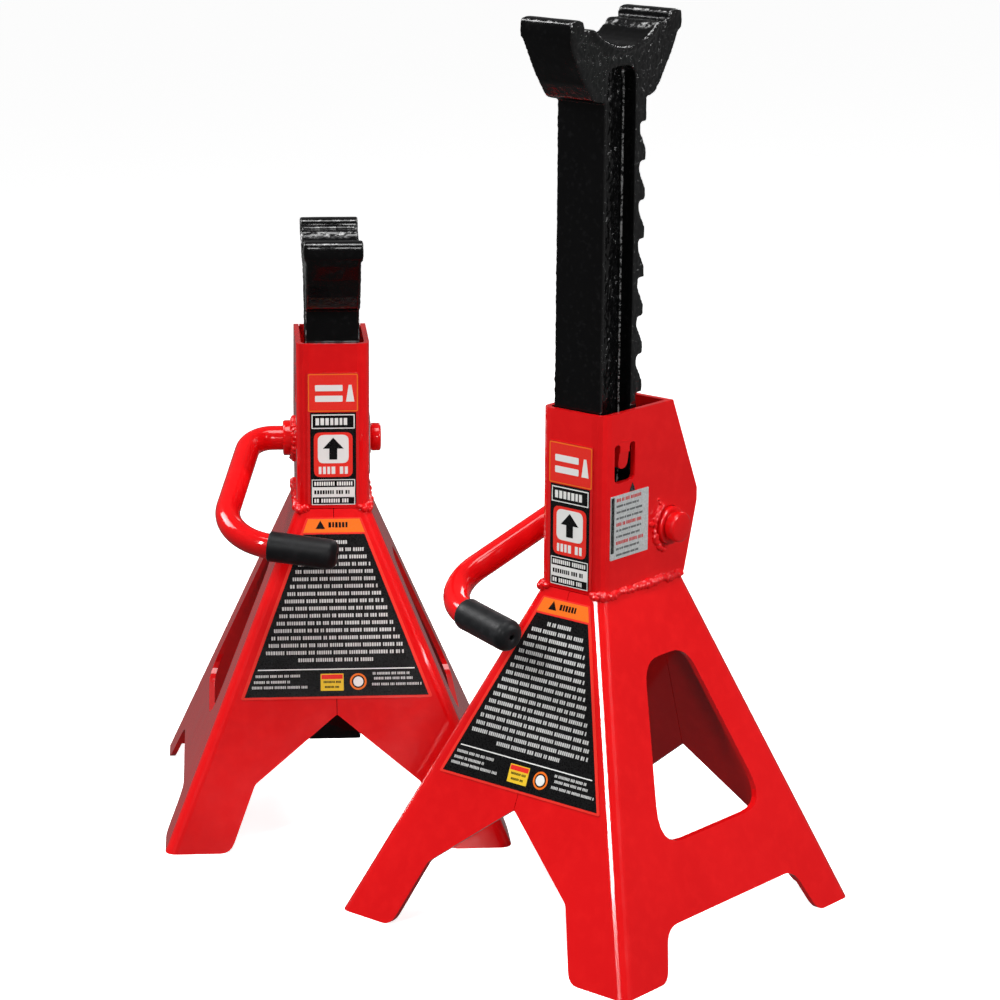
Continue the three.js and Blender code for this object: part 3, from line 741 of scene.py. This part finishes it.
def tower_label(stand, matrix):
    """Three fields down the tower's front: a plain emblem, an arrow badge and three strips of print."""
    chance = random.Random(11)
    half, low, high = 12.4, 154.8, 219.5
    label = Label(rounded([(-half, low, 1), (half, low, 1), (half, high, 1), (-half, high, 1)]), RED)
    label.frame(-half + 0.5, half - 0.5, 200.6, high - 0.5, 0.5, ORANGE, BRIGHT_RED, 1, 0.8)
    label.box(-8.6, 4.6, 210.6, 213.6, WHITE, 3, 0.5)
    label.box(-8.6, 4.6, 205.4, 208.4, WHITE, 3, 0.5)
    label.patch([(6.2, 205.4), (10.2, 205.4), (8.9, 213.6), (7.5, 213.6)], WHITE, 3)
    label.box(-11, 11, low + 0.3, 200.2, BLACK)
    label.frame(-10.3, 10.3, 192.2, 199.2, 0.5, WHITE, BLACK, 2)
    label.line(-8.4, 8.4, 195.7, 3.4, WHITE, chance, 4)
    label.box(-9.3, 9.3, 168.4, 190.4, BRIGHT_RED, 2, 3.2)
    label.box(-7.4, 7.4, 175.2, 189.2, WHITE, 3, 3)
    label.patch([(-1.9, 177), (1.9, 177), (1.9, 182.4), (-1.9, 182.4)], BLACK, 4)
    label.patch([(-5, 182.4), (5, 182.4), (0, 187.8)], BLACK, 4)
    label.line(-7, 7, 171.7, 3.6, WHITE, chance, 3)
    for row, (fill, mark) in enumerate(((BLACK, WHITE), (WHITE, BLACK), (BLACK, WHITE))):
        top = 167.2 - row * 4.2
        label.frame(-10.4, 10.4, top - 4.2, top, 0.4, WHITE, fill, 2)
        label.line(-9.2, 9.2, top - 2.1, 1.9, mark, chance, 4)
    place = axes((0, 0, 0), (1, 0, 0), (0, 0, 1))
    label.show(stand, "tower", "front_print", matrix @ place)


def base_label(stand, matrix):
    """The tapered sheet on the base's front: an orange band, rows of print and two small emblems."""
    chance = random.Random(23)
    slope = math.hypot(BASE["height"], BASE["front"]) / BASE["height"]
    lean = (0, -BASE["front"], BASE["height"])
    low, high = 67.5 * slope, 148.5 * slope
    wide, narrow = 46, 13.2

    def half_at(v):
        return wide + (narrow - wide) * (v - low) / (high - low)

    def band(v0, v1, margin, colour, layer):
        inner0, inner1 = half_at(v0) - margin, half_at(v1) - margin
        label.patch([(-inner0, v0), (inner0, v0), (inner1, v1), (-inner1, v1)], colour, layer)

    corners = [(-wide, low, 1.5), (wide, low, 1.5), (narrow, high, 1), (-narrow, high, 1)]
    label = Label(rounded(corners), BRIGHT_RED)
    top_of_black = 141 * slope
    band(141.8 * slope, high - 0.7, 1.1, ORANGE, 1)
    label.patch([(-8.8, 143.4 * slope), (-4.2, 143.4 * slope), (-6.5, 147.2 * slope)], BLACK, 2)
    label.line(-2.6, 8.4, 145.2 * slope, 2.6, BLACK, chance, 2)
    band(low + 1.1, top_of_black, 1.6, BLACK, 1)
    rows = 17
    first, last = 137.4 * slope, 84.8 * slope
    for row in range(rows):
        v = first + (last - first) * row / (rows - 1)
        reach = half_at(v) - 4.2
        if row in (0, rows - 1):
            reach *= 0.52
        label.line(-reach, reach, v, 1.75, PALE, chance, 2)
    rule = 80.6 * slope
    label.box(-half_at(rule) + 3.2, half_at(rule) - 3.2, rule - 0.25, rule + 0.25, WHITE, 2)
    for v, ends in ((77.8, (-38.6, -17)), (75.2, (-39.4, -22)), (72.8, (-40.4, -13.6))):
        label.line(*ends, v * slope, 1.25, PALE, chance, 2)
    for v, ends in ((78.4, (17.4, 36)), (76.2, (18, 37)), (73.6, (17, 41))):
        label.line(*ends, v * slope, 1.2, PALE, chance, 2)
    label.box(-7.6, 3.4, 71 * slope, 78.6 * slope, YELLOW, 2, 0.3)
    label.box(-7.2, 3, 76.2 * slope, 78.2 * slope, BRIGHT_RED, 3, 0.2)
    label.line(-6.2, 2.2, 74.9 * slope, 1.0, BLACK, chance, 3)
    label.line(-5.6, 1.6, 72.7 * slope, 1.0, BLACK, chance, 3)
    label.disc(10.4, 74.9 * slope, 4.0, ORANGE, 2)
    label.disc(10.4, 74.9 * slope, 3.1, BLACK, 3)
    label.disc(10.4, 74.9 * slope, 2.4, WHITE, 4)
    place = axes((0, BASE["front"], 0), (1, 0, 0), lean)
    label.show(stand, "base", "front_print", matrix @ place)


def side_label(stand, matrix):
    """The silver sheet on the right cheek, with a small pointer above it."""
    chance = random.Random(37)
    front, back, low, high = 5.8, 32.4, 168.3, 197
    corners = [(front, low, 0.5), (back, low, 0.5), (back, high, 0.5), (front, high, 0.5)]
    label = Label(rounded(corners), SILVER)
    label.box(front + 0.3, front + 2.4, low + 3, high - 0.6, BLACK)
    for row in range(10):
        v = high - 2.2 - row * 2.75
        colour = RED if row in (0, 4, 7) else SMALL_PRINT
        height = 1.5 if row in (0, 4, 7) else 0.95
        label.line(front + 4, back - chance.uniform(1.5, 7), v, height, colour, chance)
    label.slab([(19.1, high + 0.3), (22.9, high + 0.3), (21, high + 4)], LIFT, SHEET, BLACK)
    face = TOWER["half_width"]
    place = axes((face, 0, 0), (0, 1, 0), (0, 0, 1))
    label.show(stand, "side", "side_print", matrix @ place)


# ---- Both stands ----
def finish_cad_node(name, slot, width):
    """Keeps a CAD node's own shape, and gives it a material and softened edges."""
    piece = frame["nodes"][name]
    piece.data.materials.clear()
    piece.data.materials.append(MATERIALS[slot])
    bevelled(piece, width)


for seed, stand in enumerate(STANDS):
    matrix = stand_matrix(stand)
    for name in ("base_shell_left", "base_shell_right", "tower_channel", "tower_back_plate"):
        finish_cad_node(f"{stand}_{name}", "red_paint", SHEET_EDGE)
    finish_cad_node(stand + "_pawl", "bare_steel", PAWL_EDGE)
    finish_cad_node(stand + "_pawl_pin", "bare_steel", PIN_EDGE)
    cast_column(stand)
    handle_rod(stand, matrix)
    handle_grip(stand, matrix)
    pivot_bush(stand, matrix, "left", BUSH["left_end"])
    pivot_bush(stand, matrix, "right", BUSH["right_end"])
    welds(stand, matrix, 10 * seed + 1)
    corner_blobs(stand, matrix, seed + 5)
    tower_label(stand, matrix)
    base_label(stand, matrix)
    side_label(stand, matrix)


# ---- Floor, light and camera ----
def make_floor():
    """A round sheet of paper that curves up far outside the stands."""
    bm = bmesh.new()
    sides = 96
    rings = []
    for radius, height in FLOOR_PROFILE:
        turns = [2 * math.pi * k / sides for k in range(sides)]
        rings.append([bm.verts.new((radius * math.cos(t), radius * math.sin(t), height)) for t in turns])
    for inner, outer in zip(rings, rings[1:]):
        bridge(bm, inner, outer)
    bm.faces.new(rings[0])
    bmesh.ops.recalc_face_normals(bm, faces=bm.faces)
    mesh = bpy.data.meshes.new("floor")
    bm.to_mesh(mesh)
    bm.free()
    mesh.shade_smooth()
    floor = bpy.data.objects.new("floor", mesh)
    bpy.context.scene.collection.objects.link(floor)
    mesh.materials.append(floor_paper())
    floor.visible_diffuse = False
    floor.visible_glossy = False
    floor.visible_shadow = False


def softbox(name, location, size, power, spread):
    data = bpy.data.lights.new(name, "AREA")
    data.shape = "RECTANGLE"
    data.size, data.size_y = size
    data.energy = power
    data.spread = math.radians(spread)
    light = bpy.data.objects.new(name, data)
    light.location = location
    light.rotation_mode = "QUATERNION"
    light.rotation_quaternion = (Vector(LIGHT_TARGET) - Vector(location)).to_track_quat("-Z", "Y")
    light.visible_camera = False
    bpy.context.scene.collection.objects.link(light)


def make_light():
    world = bpy.data.worlds.new("studio")
    world.use_nodes = True
    tree = world.node_tree
    tree.nodes["Background"].inputs["Color"].default_value = (1, 1, 1, 1)
    tree.nodes["Background"].inputs["Strength"].default_value = WORLD_STRENGTH
    bpy.context.scene.world = world
    for light in LIGHTS:
        softbox(*light)


def make_camera():
    data = bpy.data.cameras.new("camera")
    data.sensor_width = 36
    data.lens = CAMERA["lens"]
    data.clip_start, data.clip_end = 0.05, 100
    azimuth, elevation = math.radians(CAMERA["azimuth"]), math.radians(CAMERA["elevation"])
    camera = bpy.data.objects.new("camera", data)
    camera.location = CAMERA["location"]
    turn = Euler((math.pi / 2 - elevation, 0, azimuth)).to_matrix()
    camera.rotation_mode = "QUATERNION"
    roll = Matrix.Rotation(math.radians(CAMERA["roll"]), 3, "Z")
    camera.rotation_quaternion = (turn @ roll).to_quaternion()
    bpy.context.scene.collection.objects.link(camera)
    bpy.context.scene.camera = camera


make_floor()
make_light()
make_camera()
bpy.context.scene.view_settings.view_transform = "Standard"
